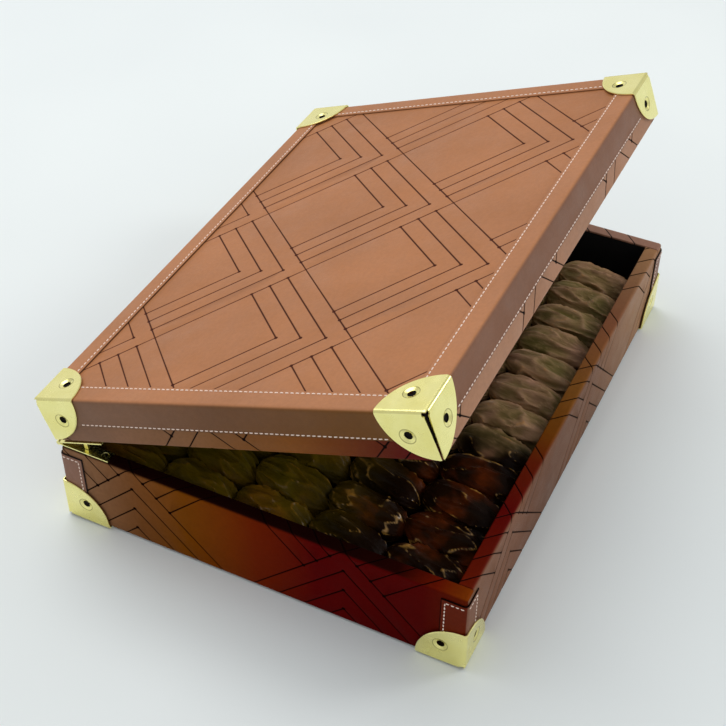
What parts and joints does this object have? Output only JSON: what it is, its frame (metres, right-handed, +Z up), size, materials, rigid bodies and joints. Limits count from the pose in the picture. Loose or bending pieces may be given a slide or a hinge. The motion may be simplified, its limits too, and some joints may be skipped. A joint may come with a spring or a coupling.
{
  "type": "hinged presentation box of dates",
  "caption": "Leather-covered rectangular presentation box with a stay-hinged lid standing ajar, brass corner protectors and columns of dates inside.",
  "frame": {"origin": "centre of the underside, on the plane the box stands on", "axes": "+X along the hinge, +Y from the opening front to the hinged back, +Z up"},
  "size_m": [0.3546, 0.2759, 0.1857],
  "materials": {
    "lid_leather": "smooth tan leather with engraved dark lines and pale stitching",
    "base_leather": "smooth brown leather with engraved dark lines and pale stitching",
    "board": "plain board, hidden under leather and lining",
    "black_lining": "matt black",
    "brass": "polished pale brass",
    "date_skin": "glossy wrinkled dark brown fruit skin"
  },
  "bodies": {
    "base": {"base_bottom_cover": "base_leather", "base_floor_board": "board", "base_front_board": "board", "base_back_board": "board", "base_left_board": "board", "base_right_board": "board", "base_front_leather": "base_leather", "base_back_leather": "base_leather", "base_left_leather": "base_leather", "base_right_leather": "base_leather", "base_lining": "black_lining", "raised_floor_card": "black_lining", "base_front_left_patch": "base_leather", "base_front_right_patch": "base_leather", "base_back_left_patch": "base_leather", "base_back_right_patch": "base_leather", "base_front_left_brass_corner": "brass", "base_front_right_brass_corner": "brass", "base_back_left_brass_corner": "brass", "base_back_right_brass_corner": "brass", "base_left_hinge_plate": "brass", "base_right_hinge_plate": "brass", "base_left_hinge_screw": "brass", "base_right_hinge_screw": "brass", "left_hinge_pin": "brass", "right_hinge_pin": "brass", "date_column_1": "date_skin", "date_column_2": "date_skin", "date_column_3": "date_skin", "date_column_4": "date_skin", "date_column_5": "date_skin"},
    "lid": {"lid_top_board": "board", "lid_front_board": "board", "lid_back_board": "board", "lid_left_board": "board", "lid_right_board": "board", "lid_top_leather": "lid_leather", "lid_front_leather": "lid_leather", "lid_back_leather": "lid_leather", "lid_left_leather": "lid_leather", "lid_right_leather": "lid_leather", "lid_front_edging": "lid_leather", "lid_back_edging": "lid_leather", "lid_left_edging": "lid_leather", "lid_right_edging": "lid_leather", "lid_lining": "black_lining", "lid_front_left_brass_corner": "brass", "lid_front_right_brass_corner": "brass", "lid_back_left_brass_corner": "brass", "lid_back_right_brass_corner": "brass", "lid_left_hinge_plate": "brass", "lid_right_hinge_plate": "brass", "lid_left_hinge_screw": "brass", "lid_right_hinge_screw": "brass"},
    "left_stay": {"left_stay": "brass"},
    "right_stay": {"right_stay": "brass"}
  },
  "joints": [
    {"name": "lid_hinge", "type": "hinge", "parent": "base", "child": "lid", "pos_m": [0, 0.1319, 0.05925], "axis": [-1, 0, 0], "range_deg": [-21, 74]},
    {"name": "left_stay_turn", "type": "hinge", "parent": "base", "child": "left_stay", "pos_m": [-0.17035, 0.1319, 0.05925], "axis": [-1, 0, 0], "range_deg": [-10.5, 37]},
    {"name": "right_stay_turn", "type": "hinge", "parent": "base", "child": "right_stay", "pos_m": [0.17035, 0.1319, 0.05925], "axis": [-1, 0, 0], "range_deg": [-10.5, 37]}
  ],
  "couplings": [
    {"joint": "left_stay_turn", "follows": "lid_hinge", "ratio": 0.5},
    {"joint": "right_stay_turn", "follows": "lid_hinge", "ratio": 0.5}
  ]
}
